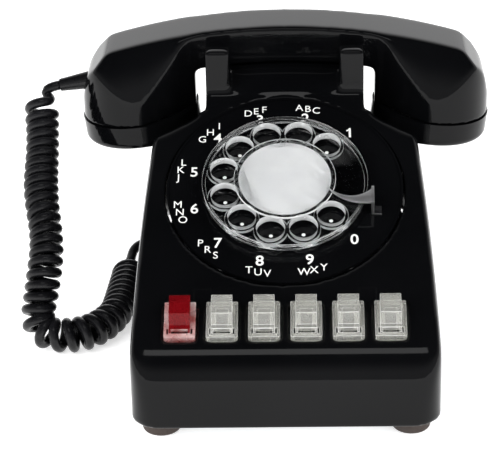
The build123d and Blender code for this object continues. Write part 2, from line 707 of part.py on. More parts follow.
with BuildPart() as gong_left:
    with BuildSketch(Plane.XZ.offset(-GONG_Y)):
        with BuildLine():
            Line((-GONG_X, GONG_Z + GONG_TALL), (-GONG_X + 8, GONG_Z + GONG_TALL))
            ThreePointArc((-GONG_X + 8, GONG_Z + GONG_TALL), (-GONG_X + 20.5, GONG_Z + 9.5),
                          (-GONG_X + GONG_R, GONG_Z))
            Line((-GONG_X + GONG_R, GONG_Z), (-GONG_X + GONG_R - 1.6, GONG_Z))
            ThreePointArc((-GONG_X + GONG_R - 1.6, GONG_Z), (-GONG_X + 19.3, GONG_Z + 8.4),
                          (-GONG_X + 7.6, GONG_Z + GONG_TALL - 1.5))
            Polyline((-GONG_X + 7.6, GONG_Z + GONG_TALL - 1.5), (-GONG_X, GONG_Z + GONG_TALL - 1.5),
                     (-GONG_X, GONG_Z + GONG_TALL))
        make_face()
    revolve(axis=Axis((-GONG_X, GONG_Y, 0), (0, 0, 1)))
    with Locations((-GONG_X, GONG_Y, GONG_Z)):
        Cylinder(2.0, 60, mode=Mode.SUBTRACT)
save(gong_left.part, "gong_left")
save(mirror(gong_left.part, about=Plane.YZ), "gong_right")

with BuildPart() as gong_screws:
    for x in (-GONG_X, GONG_X):
        with Locations((x, GONG_Y, BASE_Z + BASE_T + 2.0)):
            Cylinder(2.0, GONG_Z + GONG_TALL - BASE_Z - BASE_T - 2.0, align=(Align.CENTER, Align.CENTER, Align.MIN))
        with Locations((x, GONG_Y, GONG_Z + GONG_TALL)):
            Cylinder(4.0, 2.0, align=(Align.CENTER, Align.CENTER, Align.MIN))
        with Locations((x, GONG_Y, BASE_Z + BASE_T + 2.0)):
            Cylinder(4.0, GONG_Z + GONG_TALL - 1.5 - BASE_Z - BASE_T - 2.0,
                     align=(Align.CENTER, Align.CENTER, Align.MIN))
save(gong_screws.part, "gong_screws")

with BuildPart() as ringer_frame:
    with BuildSketch(Plane.XY.offset(BASE_Z + BASE_T)):
        with Locations((0, back(187))):
            RectangleRounded(96, 62, 6)
        with Locations(WHEEL_SPOT):
            Circle(3.2, mode=Mode.SUBTRACT)
        with Locations((-38, back(214)), (38, back(214))):
            Circle(3.0, mode=Mode.SUBTRACT)
    extrude(amount=2.0)
    with Locations(*[(x, back(166), BASE_Z + BASE_T) for x in (-24, 24)]):
        Box(2.0, 16, 36, align=(Align.CENTER, Align.CENTER, Align.MIN))
    with Locations((0, CLAPPER_Y, BASE_Z + BASE_T + 2.0)):
        Cylinder(1.6, CLAPPER_Z + 1.5 - BASE_Z - BASE_T - 2.0, align=(Align.CENTER, Align.CENTER, Align.MIN))
save(ringer_frame.part, "ringer_frame")

with BuildPart() as ringer_coil:
    with Locations((0, back(166), 36)):
        Cylinder(4.0, 46, rotation=(0, 90, 0))
        Cylinder(8.0, 38, rotation=(0, 90, 0))
    with Locations(*[(x, back(166), 36) for x in (-19.6, 19.6)]):
        Cylinder(9.2, 1.6, rotation=(0, 90, 0))
save(ringer_coil.part, "ringer_coil")

with BuildPart() as ringer_clapper:
    with Locations((0, CLAPPER_Y, CLAPPER_Z - 1.5)):
        Box(26, 6, 2.4, align=(Align.CENTER, Align.CENTER, Align.MIN))
    with Locations((0, CLAPPER_Y + 18, CLAPPER_Z - 0.9)):
        Box(1.6, 36, 1.2, align=(Align.CENTER, Align.CENTER, Align.MIN))
    with Locations((0, GONG_Y, CLAPPER_Z - 2.4)):
        Cylinder(2.6, 4.4, align=(Align.CENTER, Align.CENTER, Align.MIN))
    with Locations((0, CLAPPER_Y, 0)):
        Cylinder(1.66, 100, mode=Mode.SUBTRACT)
save(ringer_clapper.part, "ringer_clapper")

with BuildPart() as ringer_volume_wheel:
    with Locations((*WHEEL_SPOT, BASE_Z - 3.4)):
        Cylinder(11.0, 2.8, align=(Align.CENTER, Align.CENTER, Align.MIN))
    with BuildSketch(Plane.XY.offset(BASE_Z - 3.4)):
        with Locations(WHEEL_SPOT):
            with PolarLocations(11.4, 24):
                Circle(0.9)
    extrude(amount=2.8, mode=Mode.SUBTRACT)
    with Locations((*WHEEL_SPOT, BASE_Z - 1)):
        Cylinder(2.22, 6.0, align=(Align.CENTER, Align.CENTER, Align.MIN))
save(ringer_volume_wheel.part, "ringer_volume_wheel")

with BuildPart() as network_block:
    with Locations((-22, back(92), BASE_Z + BASE_T)):
        Box(42, 58, 24, align=(Align.CENTER, Align.CENTER, Align.MIN))
    fillet(network_block.edges().filter_by(Axis.Z), 2.5)
    with Locations(*[(-22 + dx, back(92) + dy, BASE_Z + BASE_T + 24) for dx in (-14, 0, 14) for dy in (-20, 20)]):
        Cylinder(2.6, 2.4, align=(Align.CENTER, Align.CENTER, Align.MIN))
save(network_block.part, "network_block")

with BuildPart() as terminal_strip:
    with Locations((26, back(92), BASE_Z + BASE_T)):
        Box(26, 56, 8, align=(Align.CENTER, Align.CENTER, Align.MIN))
    with Locations(*[(26 + dx, back(92) + dy, BASE_Z + BASE_T + 8) for dx in (-7, 7) for dy in range(-22, 23, 11)]):
        Cylinder(2.4, 1.8, align=(Align.CENTER, Align.CENTER, Align.MIN))
save(terminal_strip.part, "terminal_strip")


# ---------------------------------------------------------------- handset

HANDSET_Y = back(HANDSET_BACK)
CUP_X, CUP_R = 72.8, 28.6
CUP_TILT = 7.0           # the caps' faces turn inward, towards each other
SEAM_Z = 93.0            # where the caps meet the shell, on the cups' axes
CAP_TALL = 12.0
TOP_Z = 139.2
BACK_R = (88 ** 2 + (TOP_Z - 126.2) ** 2) / (2 * (TOP_Z - 126.2))   # radius of the handset's back


def cup_plane(side, along=0.0):
    """A plane across a cup's axis, facing down and inward; side is -1 for the left cup, 1 for the right."""
    tilt = math.radians(CUP_TILT)
    down = Vector(-side * math.sin(tilt), 0, -math.cos(tilt))
    origin = Vector(side * CUP_X, HANDSET_Y, SEAM_Z) + down * along
    return Plane(origin=origin, x_dir=(0, 1, 0), z_dir=down)


# The relief leaves the left end of the handset, pointing outward, a little down and forward.
RELIEF_ROOT = Vector(-96.5, HANDSET_Y + 0.4, 107.2)
RELIEF_TIP = Vector(-112.9, HANDSET_Y, 104.4)
CORD_R, COIL_R = 2.45, 8.3

relief_axis = (RELIEF_TIP - RELIEF_ROOT).normalized()
with BuildPart() as handset_strain_relief:
    with BuildSketch(Plane(origin=RELIEF_ROOT, z_dir=relief_axis)):
        Circle(4.6)
    with BuildSketch(Plane(origin=RELIEF_TIP, z_dir=relief_axis)):
        Circle(3.1)
    loft()
    with BuildSketch(Plane(origin=RELIEF_TIP, z_dir=relief_axis)):
        Circle(CORD_R + 0.05)
    extrude(amount=-6, mode=Mode.SUBTRACT)
save(handset_strain_relief.part, "handset_strain_relief")

with BuildPart() as handset_shell:
    with BuildSketch(Plane.XZ.offset(-HANDSET_Y)) as outline:
        with BuildLine():
            ThreePointArc((-88, 126.2), (0, TOP_Z), (88, 126.2))
            Polyline((88, 126.2), (98.6, 113.5), (101.3, 101), (101.3, 70), (44.2, 70), (44.6, UNDER_Z - 3.8))
            ThreePointArc((44.6, UNDER_Z - 3.8), (0, UNDER_Z), (-44.6, UNDER_Z - 3.8))
            Polyline((-44.6, UNDER_Z - 3.8), (-44.2, 70), (-101.3, 70), (-101.3, 101), (-98.6, 113.5), (-88, 126.2))
        make_face()
        fillet(outline.vertices().filter_by(lambda v: abs(v.X) < 45 and v.Z > 100), 9)
        fillet(outline.vertices().filter_by(lambda v: abs(abs(v.X) - 88) < 1), 8)
        fillet(outline.vertices().filter_by(lambda v: abs(abs(v.X) - 98.6) < 0.1), 14)
    extrude(amount=40, both=True)
    with BuildSketch(Plane.XY) as plan:
        with Locations((0, HANDSET_Y)):
            Rectangle(2 * CUP_X, 2 * HANDLE_HALF)
        with Locations((-CUP_X, HANDSET_Y), (CUP_X, HANDSET_Y)):
            Circle(CUP_R)
        fillet(plan.vertices().filter_by(lambda v: abs(v.X) < CUP_X - 10), 16)
    extrude(amount=200, mode=Mode.INTERSECT)
    with BuildSketch(Plane.YZ):
        with BuildLine():
            Polyline((HANDSET_Y - HANDLE_HALF, TOP_Z), (HANDSET_Y - HANDLE_HALF, TOP_Z + 6),
                     (HANDSET_Y + HANDLE_HALF, TOP_Z + 6), (HANDSET_Y + HANDLE_HALF, TOP_Z))
            ThreePointArc((HANDSET_Y + HANDLE_HALF, TOP_Z), (HANDSET_Y + 24.5, TOP_Z - 13),
                          (HANDSET_Y + CUP_R + 1, TOP_Z - 33))
            Polyline((HANDSET_Y + CUP_R + 1, TOP_Z - 33), (HANDSET_Y + CUP_R + 1, TOP_Z - 90),
                     (HANDSET_Y - CUP_R - 1, TOP_Z - 90), (HANDSET_Y - CUP_R - 1, TOP_Z - 33))
            ThreePointArc((HANDSET_Y - CUP_R - 1, TOP_Z - 33), (HANDSET_Y - 24.5, TOP_Z - 13),
                          (HANDSET_Y - HANDLE_HALF, TOP_Z))
        make_face()
    revolve(axis=Axis((0, 0, TOP_Z - BACK_R), (0, 1, 0)), mode=Mode.INTERSECT)
    for side in (-1, 1):
        with BuildSketch(cup_plane(side)):
            Rectangle(64, 64)
        extrude(amount=40, mode=Mode.SUBTRACT)
    for side in (-1, 1):
        with BuildSketch(cup_plane(side)):
            Circle(CUP_R - 3.2)
        extrude(amount=-17, mode=Mode.SUBTRACT)
    with Locations((0, HANDSET_Y, 126.0)):
        Box(110, 16, 8, mode=Mode.SUBTRACT)
    add(handset_strain_relief.part, mode=Mode.SUBTRACT)
save(handset_shell.part, "handset_shell")


def make_cap(side, hole_r, hole_spots):
    """A screw-on cap: a skirt that closes on the shell and a face with a ring of holes."""
    with BuildPart() as cap:
        with BuildSketch(cup_plane(side, 0.1)):
            Circle(CUP_R + 0.7)
        extrude(amount=CAP_TALL)
        fillet(cap.edges().sort_by(lambda e: -e.center().Z)[-1], 3.5)
        with BuildSketch(cup_plane(side, 0.0)):
            Circle(CUP_R - 3.2)
        extrude(amount=CAP_TALL - 2.2, mode=Mode.SUBTRACT)
        with BuildSketch(cup_plane(side, CAP_TALL - 4)):
            with Locations(*hole_spots):
                Circle(hole_r)
        extrude(amount=8, mode=Mode.SUBTRACT)
    return cap.part


save(make_cap(-1, 1.3, [polar(r, a * 360 / n + r) for r, n in ((6, 6), (12, 12)) for a in range(n)]),
     "transmitter_cap")
save(make_cap(1, 1.6, [(0, 0)] + [polar(7, a * 60) for a in range(6)]), "receiver_cap")


def cup_disc(side, radius, h_from, h_to):
    with BuildPart() as disc:
        with BuildSketch(cup_plane(side, h_from)):
            Circle(radius)
        extrude(amount=h_to - h_from)
    return disc.part


save(cup_disc(-1, 22.5, -2.0, 8.8), "transmitter_capsule")
save(cup_disc(-1, 24.4, -9.5, -2.4), "transmitter_cup")
save(cup_disc(1, 23.5, -9.0, 8.8), "receiver_capsule")



# ---------------------------------------------------------------- cord, its gland and the line cord's inlet

# The coiled stretch hangs from the handset, turns on the table and lies back along the left side.
COIL_ROUTE = [
    (-122.6, 51.5, 96.0), (-121.2, 37.0, 79.5), (-121.6, 16.0, 62.5), (-116.6, -3.5, 46.0),
    (-118.0, -19.0, 31.0), (-122.5, -29.5, 8.6), (-99.5, -33.0, 8.6), (-85.5, -16.0, 8.6),
    (-82.6, 6.0, 8.6), (-81.5, 29.0, 8.6)]
LEAD_TOP = [tuple(RELIEF_TIP), (-121.6, 53.2, 103.6), COIL_ROUTE[0]]
LEAD_BASE = [COIL_ROUTE[-1], (-81.3, 42.5, 9.8), (-79.5, 56.2, 14.6), (-70.6, CORD_SIDE_Y, CORD_SIDE_Z)]


def tube(points, radius):
    """A round tube along straight runs joined by the largest arcs that the runs allow."""
    spots = [Vector(*p) for p in points]
    radii = []
    for before, here, after in zip(spots, spots[1:], spots[2:]):
        turn = math.radians((here - before).get_angle(after - here))
        radii.append(0.45 * min((here - before).length, (after - here).length) / math.tan(turn / 2))
    print("cord radii", [round(r, 1) for r in radii])
    with BuildPart() as made:
        with BuildLine() as route:
            FilletPolyline(*points, radius=radii)
        with BuildSketch(Plane(origin=spots[0], z_dir=(spots[1] - spots[0]).normalized())):
            Circle(radius)
        sweep(path=route.line)
    length = sum(edge.length for edge in route.edges())
    share = made.part.volume / (math.pi * radius ** 2 * length)
    print("cord tube length", round(length, 1), "volume share", round(share, 4))
    return made.part


save(tube(COIL_ROUTE, COIL_R), "handset_cord_coil")
save(Compound(children=[tube(LEAD_TOP, CORD_R), tube(LEAD_BASE, CORD_R)]), "handset_cord_leads")

with BuildPart() as cord_base_gland:
    with BuildSketch(Plane.YZ.offset(-70.6)):
        with Locations((CORD_SIDE_Y, CORD_SIDE_Z)):
            Circle(5.8)
    extrude(amount=1.9)
    with BuildSketch(Plane.YZ.offset(-70.6)):
        with Locations((CORD_SIDE_Y, CORD_SIDE_Z)):
            Circle(4.2)
    extrude(amount=7.5)
    with BuildSketch(Plane.YZ.offset(-70.6)):
        with Locations((CORD_SIDE_Y, CORD_SIDE_Z)):
            Circle(CORD_R)
    extrude(amount=7.5, mode=Mode.SUBTRACT)
save(cord_base_gland.part, "cord_base_gland")

with BuildPart() as line_cord_grommet:
    with BuildSketch(line_plane(0.1)):
        Circle(6.6)
    extrude(amount=1.3)
    with BuildSketch(line_plane(0.1)):
        Circle(4.8)
    extrude(amount=-5.5)
    with BuildSketch(line_plane(3)):
        Circle(3.2)
    extrude(amount=-12, mode=Mode.SUBTRACT)
save(line_cord_grommet.part, "line_cord_grommet")
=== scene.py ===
"""The looks of a rotary desk telephone with line keys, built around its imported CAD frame."""
import json
import math

import bmesh
import bpy
import numpy as np
from mathutils import Matrix, Vector


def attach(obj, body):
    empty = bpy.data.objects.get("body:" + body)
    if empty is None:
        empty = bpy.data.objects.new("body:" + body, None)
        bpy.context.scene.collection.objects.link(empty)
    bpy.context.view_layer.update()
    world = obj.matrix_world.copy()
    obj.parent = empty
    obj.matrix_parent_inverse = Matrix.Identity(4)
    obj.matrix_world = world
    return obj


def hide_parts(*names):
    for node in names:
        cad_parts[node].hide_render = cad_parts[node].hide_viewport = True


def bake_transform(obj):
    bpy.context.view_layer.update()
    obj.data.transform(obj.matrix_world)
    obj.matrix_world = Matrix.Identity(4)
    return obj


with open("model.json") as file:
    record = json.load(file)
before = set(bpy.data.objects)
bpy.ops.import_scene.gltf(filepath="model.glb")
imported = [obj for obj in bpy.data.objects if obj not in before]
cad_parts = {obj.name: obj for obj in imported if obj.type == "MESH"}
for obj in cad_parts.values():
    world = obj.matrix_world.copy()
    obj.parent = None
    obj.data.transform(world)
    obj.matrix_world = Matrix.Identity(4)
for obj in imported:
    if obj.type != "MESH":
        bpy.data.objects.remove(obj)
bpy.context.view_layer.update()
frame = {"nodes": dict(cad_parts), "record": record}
NODES = frame["nodes"]
MM = 0.001

# The sloped face: its dial centre, the way up the slope and the way out of the phone.
SLOPE = math.radians(26.2)
DIAL = Vector((0, -25.7, 83.4)) * MM
RIGHT = Vector((1, 0, 0))
UP_SLOPE = Vector((0, math.cos(SLOPE), math.sin(SLOPE)))
OUT = Vector((0, -math.sin(SLOPE), math.cos(SLOPE)))


def on_face(x, along, out=0.0):
    """A point on the sloped face, from millimetres across, up the slope and out of it."""
    return DIAL + (RIGHT * x + UP_SLOPE * along + OUT * out) * MM


def face_matrix(x, along, out=0.0):
    """Turns a flat drawing into one that lies on the sloped face."""
    turn = Matrix((RIGHT, UP_SLOPE, OUT)).transposed().to_4x4()
    return Matrix.Translation(on_face(x, along, out)) @ turn


# ---------------------------------------------------------------- camera

CAMERA_AT = Vector((0.0094, -0.9247, 0.5000))
CAMERA_ROLL = math.radians(-0.8)


def make_camera():
    data = bpy.data.cameras.new("camera")
    data.lens = 151.3
    data.sensor_width = 36.0
    data.shift_x, data.shift_y = -0.070, -0.074
    data.clip_start = 0.05
    camera = bpy.data.objects.new("camera", data)
    bpy.context.scene.collection.objects.link(camera)
    aim = (DIAL - CAMERA_AT).to_track_quat("-Z", "Y").to_matrix().to_4x4()
    camera.matrix_world = Matrix.Translation(CAMERA_AT) @ aim @ Matrix.Rotation(CAMERA_ROLL, 4, "Z")
    bpy.context.scene.camera = camera


make_camera()


# ---------------------------------------------------------------- materials

def node_material(name):
    made = bpy.data.materials.new(name)
    made.use_nodes = True
    tree = made.node_tree
    return made, tree, tree.nodes["Principled BSDF"]


def noise_on(tree, scale, detail=3.0, stretch=(1, 1, 1)):
    """A noise texture on the object's own coordinates."""
    where = tree.nodes.new("ShaderNodeTexCoord")
    place = tree.nodes.new("ShaderNodeMapping")
    place.inputs["Scale"].default_value = stretch
    noise = tree.nodes.new("ShaderNodeTexNoise")
    noise.inputs["Scale"].default_value = scale
    noise.inputs["Detail"].default_value = detail
    tree.links.new(where.outputs["Object"], place.inputs["Vector"])
    tree.links.new(place.outputs["Vector"], noise.inputs["Vector"])
    return noise.outputs["Fac"]


def spread(tree, value, low, high, start=0.3, stop=0.7):
    """Maps a noise onto a range of numbers."""
    node = tree.nodes.new("ShaderNodeMapRange")
    for key, number in (("From Min", start), ("From Max", stop), ("To Min", low), ("To Max", high)):
        node.inputs[key].default_value = number
    tree.links.new(value, node.inputs["Value"])
    return node.outputs["Result"]


def blend_colours(tree, value, first, second, start=0.35, stop=0.65):
    ramp = tree.nodes.new("ShaderNodeValToRGB")
    ends = ramp.color_ramp.elements
    ends[0].position, ends[1].position = start, stop
    ends[0].color, ends[1].color = (*first, 1), (*second, 1)
    tree.links.new(value, ramp.inputs["Fac"])
    return ramp.outputs["Color"]


def add_bump(tree, shader, value, height, strength=0.5):
    bump = tree.nodes.new("ShaderNodeBump")
    bump.inputs["Distance"].default_value = height
    bump.inputs["Strength"].default_value = strength
    tree.links.new(value, bump.inputs["Height"])
    tree.links.new(bump.outputs["Normal"], shader.inputs["Normal"])


def make_material(name, colours, rough, metal=0.0, grain=300, stretch=(1, 1, 1), bump=0.0, ior=1.5,
                  clear=0.0, wide_grain=14):
    """A surface whose colour and gloss vary a little, with a fine grain."""
    made, tree, shader = node_material(name)
    shader.inputs["Metallic"].default_value = metal
    shader.inputs["IOR"].default_value = ior
    shader.inputs["Transmission Weight"].default_value = clear
    wide = noise_on(tree, wide_grain, 4.0)
    tree.links.new(blend_colours(tree, wide, *colours), shader.inputs["Base Color"])
    fine = noise_on(tree, grain, 3.0, stretch)
    tree.links.new(spread(tree, fine, *rough), shader.inputs["Roughness"])
    if bump:
        add_bump(tree, shader, fine, bump)
    return made


CLEAR_IOR = 1.49   # acrylic
GLOSSY_IOR = 1.27  # kept low, so that the white floor doesn't turn the black shells grey
CORD_IOR = 1.36

BLACK = make_material(
    "black_plastic", ((0.0016, 0.0017, 0.0020), (0.0026, 0.0027, 0.0031)), (0.045, 0.10), grain=55,
    bump=0.00001, ior=GLOSSY_IOR)
CLEAR = make_material(
    "clear_plastic", ((0.94, 0.955, 0.955), (0.97, 0.98, 0.98)), (0.0, 0.035), grain=90, clear=1.0,
    ior=CLEAR_IOR)
# Painted highlight: a whiter, less clear copy of the acrylic for the bright hole walls and bevels.
CLEAR_HIGHLIGHT = make_material(
    "clear_highlight", ((0.90, 0.92, 0.92), (0.97, 0.98, 0.98)), (0.12, 0.3), grain=200, clear=0.35,
    ior=CLEAR_IOR, wide_grain=120)
# Painted highlight: a whiter, less clear copy of the key plastic for the keys' bevels.
KEY_HIGHLIGHT = make_material(
    "key_highlight", ((0.95, 0.95, 0.92), (0.98, 0.98, 0.96)), (0.2, 0.4), grain=200, clear=0.1,
    ior=CLEAR_IOR, wide_grain=120)
# Painted highlight: a pale copy of the red key plastic for the hold key's flange.
RED_HIGHLIGHT = make_material(
    "red_highlight", ((0.50, 0.14, 0.13), (0.88, 0.70, 0.68)), (0.2, 0.35), grain=200, clear=0.5,
    ior=CLEAR_IOR, wide_grain=120)
KEY_CLEAR = make_material(
    "key_clear", ((0.86, 0.86, 0.80), (0.95, 0.95, 0.90)), (0.03, 0.12), grain=160, clear=0.81,
    ior=CLEAR_IOR, wide_grain=90)
KEY_RED = make_material(
    "key_red", ((0.20, 0.003, 0.006), (0.31, 0.006, 0.011)), (0.03, 0.12), grain=160, clear=0.6,
    ior=CLEAR_IOR, wide_grain=60)
CARD = make_material(
    "card_white", ((0.93, 0.93, 0.94), (0.97, 0.97, 0.97)), (0.5, 0.7), grain=900, bump=0.00002,
    wide_grain=120)
WHITE_INK = make_material(
    "white_ink", ((0.80, 0.80, 0.78), (0.88, 0.88, 0.86)), (0.35, 0.5), grain=700)
CHROME = make_material(
    "chrome", ((0.86, 0.86, 0.87), (0.93, 0.93, 0.94)), (0.36, 0.48), metal=1.0, grain=200)
STEEL = make_material(
    "steel", ((0.50, 0.51, 0.52), (0.62, 0.63, 0.64)), (0.24, 0.42), metal=1.0, grain=500,
    stretch=(1, 8, 1), bump=0.00001)
BRASS = make_material(
    "brass", ((0.60, 0.44, 0.19), (0.74, 0.58, 0.28)), (0.2, 0.38), metal=1.0, grain=300)
RUBBER = make_material(
    "rubber", ((0.030, 0.020, 0.016), (0.050, 0.034, 0.026)), (0.5, 0.72), grain=700, bump=0.00003)
CORD = make_material(
    "cord_rubber", ((0.003, 0.003, 0.0035), (0.006, 0.006, 0.007)), (0.2, 0.36), grain=240,
    bump=0.00002, wide_grain=40, ior=CORD_IOR)
GREY_PAINT = make_material(
    "grey_paint", ((0.24, 0.26, 0.27), (0.32, 0.34, 0.35)), (0.35, 0.5), grain=600, bump=0.00002)
# Painted shade: a near-black finish for parts that are seen only in shade, in place of their slot's finish.
PAINTED_SHADE = make_material(
    "painted_shade", ((0.004, 0.004, 0.005), (0.008, 0.008, 0.009)), (0.45, 0.6), grain=600)
LAMINATE = make_material(
    "insulator", ((0.20, 0.08, 0.03), (0.34, 0.15, 0.06)), (0.4, 0.6), grain=400, stretch=(1, 1, 12),
    bump=0.00002, wide_grain=60)
TAPE = make_material(
    "coil_tape", ((0.42, 0.12, 0.05), (0.58, 0.20, 0.09)), (0.4, 0.6), grain=300, stretch=(20, 1, 1),
    bump=0.00005)
POTTING = make_material(
    "potting", ((0.05, 0.055, 0.06), (0.08, 0.085, 0.09)), (0.35, 0.5), grain=300, bump=0.00002)
LAMP = make_material("lamp_glass", ((0.90, 0.86, 0.74), (0.95, 0.93, 0.84)), (0.05, 0.12), clear=0.8)

SLOT_MATERIALS = {
    "black_plastic": BLACK, "clear_plastic": CLEAR, "key_clear": KEY_CLEAR, "key_red": KEY_RED,
    "card_white": CARD, "chrome": CHROME, "steel": STEEL, "brass": BRASS, "rubber": RUBBER,
    "cord_rubber": CORD, "grey_paint": GREY_PAINT, "insulator": LAMINATE, "coil_tape": TAPE,
    "potting": POTTING, "lamp_glass": LAMP}
# Nodes seen through the gaps round the keys and the dial, made near-black as painted shade in those gaps.
NODE_MATERIALS = {"key_frame": PAINTED_SHADE, "dial_frame": PAINTED_SHADE, "dial_screws": PAINTED_SHADE}
SLOT_OF = {part["node"]: part["material_slot"] for part in frame["record"]["subparts"]}

for node, slot_name in SLOT_OF.items():
    for place in NODES[node].material_slots:
        place.material = NODE_MATERIALS.get(node, SLOT_MATERIALS[slot_name])


def body_of_node(node):
    return next(name for name, nodes in frame["record"]["behaviour"]["bodies"].items() if node in nodes)


def add_piece(name, mesh, body, slot_name, material=None):
    """Puts a mesh in the scene, on its body, with its finish."""
    piece = bpy.data.objects.new(name, mesh)
    bpy.context.scene.collection.objects.link(piece)
    if not mesh.materials:
        mesh.materials.append(material or SLOT_MATERIALS[slot_name])
    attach(piece, body)
    return piece


def plain_mesh(source):
    """The mesh of an object as its modifiers leave it."""
    seen = source.evaluated_get(bpy.context.evaluated_depsgraph_get())
    return bpy.data.meshes.new_from_object(seen)


def smooth_shading(mesh, angle=35):
    mesh.shade_smooth()
    mesh.set_sharp_from_angle(angle=math.radians(angle))


# ---------------------------------------------------------------- handset cord

# The route repeats the one in the part's source, in millimetres, from the handset to the base.
LEAD_TOP = [(-112.9, 54.8, 104.4), (-121.6, 53.2, 103.6)]
COIL_ROUTE = [
    (-122.6, 51.5, 96.0), (-121.2, 37.0, 79.5), (-121.6, 16.0, 62.5), (-116.6, -3.5, 46.0),
    (-118.0, -19.0, 31.0), (-122.5, -29.5, 8.6), (-99.5, -33.0, 8.6), (-85.5, -16.0, 8.6),
    (-82.6, 6.0, 8.6), (-81.5, 29.0, 8.6)]
LEAD_BASE = [(-81.3, 42.5, 9.8), (-79.5, 56.2, 14.6), (-70.6, 57.0, 15.0)]
CORD_R = 2.42 * MM
HELIX_R = 6.15 * MM         # middle of the cord to the middle of its coil
COIL_FROM = 7.0 * MM        # straight lead at the handset
COIL_TO = 20.0 * MM         # and at the base
WIND_IN = 9.0 * MM          # over which the turns grow to their full width
DRAWN_OUT = 2.2             # extra pitch of the first and last turns
ROUTE_STEP = 0.2 * MM
BEND_WINDOW = 81            # steps over which the route's bend is averaged
TIGHTEST_BEND = 26          # per metre, past which the turns open no further
SMOOTHING_PASSES = 160
CORD_STEPS_PER_TURN = 22


def route_points(route):
    """Points along the route's own NURBS spline, in metres."""
    data = bpy.data.curves.new("route", "CURVE")
    data.dimensions = "3D"
    data.resolution_u = 24
    spline = data.splines.new("NURBS")
    spline.points.add(len(route) - 1)
    for point, place in zip(spline.points, route):
        point.co = (*(Vector(place) * MM), 1)
    spline.order_u = 3
    spline.use_endpoint_u = True
    curve = bpy.data.objects.new("route", data)
    bpy.context.scene.collection.objects.link(curve)
    mesh = plain_mesh(curve)
    points = np.array([v.co[:] for v in mesh.vertices])
    bpy.data.objects.remove(curve)
    return points


def resample(points, step):
    """Even steps along a line: the distance to each, and its place."""
    lengths = np.linalg.norm(np.diff(points, axis=0), axis=1)
    run = np.concatenate(([0], np.cumsum(lengths)))
    count = int(run[-1] / step) + 1
    at = np.linspace(0, run[-1], count)
    return at, np.column_stack([np.interp(at, run, points[:, k]) for k in range(3)])


def carried_frames(points):
    """For each point of a line, two directions square to it that turn as little as they can."""
    tangents = np.gradient(points, axis=0)
    tangents /= np.linalg.norm(tangents, axis=1)[:, None]
    side = np.cross(tangents[0], (0, 0, 1.0))
    side /= np.linalg.norm(side)
    sides = []
    for tangent in tangents:
        side = side - tangent * side.dot(tangent)
        side /= np.linalg.norm(side)
        sides.append(side)
    sides = np.array(sides)
    return tangents, sides, np.cross(tangents, sides)


def ease(value):
    """Goes gently from 0 to 1 as the value does."""
    value = np.clip(value, 0, 1)
    return value * value * (3 - 2 * value)


def cord_line():
    """The cord's own centreline: a lead, the coil's turns and a lead."""
    at, line = resample(route_points(LEAD_TOP + COIL_ROUTE + LEAD_BASE), ROUTE_STEP)
    tangents, sides, ups = carried_frames(line)
    bend = np.linalg.norm(np.gradient(tangents, axis=0), axis=1) / np.gradient(at)
    padded = np.pad(bend, BEND_WINDOW // 2, mode="edge")
    bend = np.convolve(padded, np.ones(BEND_WINDOW) / BEND_WINDOW, mode="valid")
    from_handset, from_base = at - COIL_FROM, at[-1] - COIL_TO - at

    # Turns touch where the coil hangs. They open a little where it bends and where it lies.
    height = line[:, 2]
    loose = 1 + 0.05 * ease((0.030 - height) / 0.018)
    wander = 1 + 0.05 * np.sin(at * 190) + 0.04 * np.sin(at * 83 + 1)
    pitch = 2 * CORD_R * 1.03 / (1 - HELIX_R * np.minimum(bend, TIGHTEST_BEND)) * loose * wander
    # The first and last turns are drawn out, so the cord bends gently into its coil.
    nearest_end = np.minimum(from_handset, from_base)
    pitch = pitch * (1 + DRAWN_OUT * ease(1 - nearest_end / (1.6 * WIND_IN)))

    inside = (from_handset > 0) & (from_base > 0)
    angle = np.cumsum(np.where(inside, 2 * math.pi / pitch, 0.0) * np.gradient(at))
    radius = HELIX_R * ease(from_handset / WIND_IN) * ease(from_base / WIND_IN)
    radius = radius * (1 + 0.03 * np.sin(at * 131))
    winding = line + radius[:, None] * (np.cos(angle)[:, None] * sides + np.sin(angle)[:, None] * ups)

    # A little smoothing rounds the corners where the leads meet the coil.
    near_lead = np.maximum(ease(1 - from_handset / WIND_IN), ease(1 - from_base / WIND_IN))
    kernel = np.array([0.25, 0.5, 0.25])
    for _ in range(SMOOTHING_PASSES):
        eased = np.column_stack([np.convolve(winding[:, k], kernel, mode="same") for k in range(3)])
        winding[1:-1] += near_lead[1:-1, None] * (eased - winding)[1:-1]
    return resample(winding, 2 * math.pi * HELIX_R / CORD_STEPS_PER_TURN)[1]


def tube_mesh(name, points, radius, sides=14):
    """A round tube along a line, closed at its ends."""
    tangents, first, second = carried_frames(points)
    turn = np.linspace(0, 2 * math.pi, sides, endpoint=False)
    rings = points[:, None] + radius * (
        np.cos(turn)[None, :, None] * first[:, None] + np.sin(turn)[None, :, None] * second[:, None])
    faces = [
        (r * sides + k, r * sides + (k + 1) % sides, (r + 1) * sides + (k + 1) % sides, (r + 1) * sides + k)
        for r in range(len(points) - 1) for k in range(sides)]
    last = (len(points) - 1) * sides
    faces += [tuple(range(sides))[::-1], tuple(range(last, last + sides))]
    mesh = bpy.data.meshes.new(name)
    mesh.from_pydata(rings.reshape(-1, 3).tolist(), [], faces)
    fixed = bmesh.new()
    fixed.from_mesh(mesh)
    bmesh.ops.recalc_face_normals(fixed, faces=fixed.faces)
    fixed.to_mesh(mesh)
    fixed.free()
    mesh.shade_smooth()
    return mesh


def make_cord():
    line = cord_line()
    mesh = tube_mesh("handset_cord", line, CORD_R)
    cord = bpy.data.objects.new("handset_cord", mesh)
    bpy.context.scene.collection.objects.link(cord)
    mesh.materials.append(CORD)
    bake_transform(cord)
    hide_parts("handset_cord_coil", "handset_cord_leads")


make_cord()


# ---------------------------------------------------------------- moulded shells

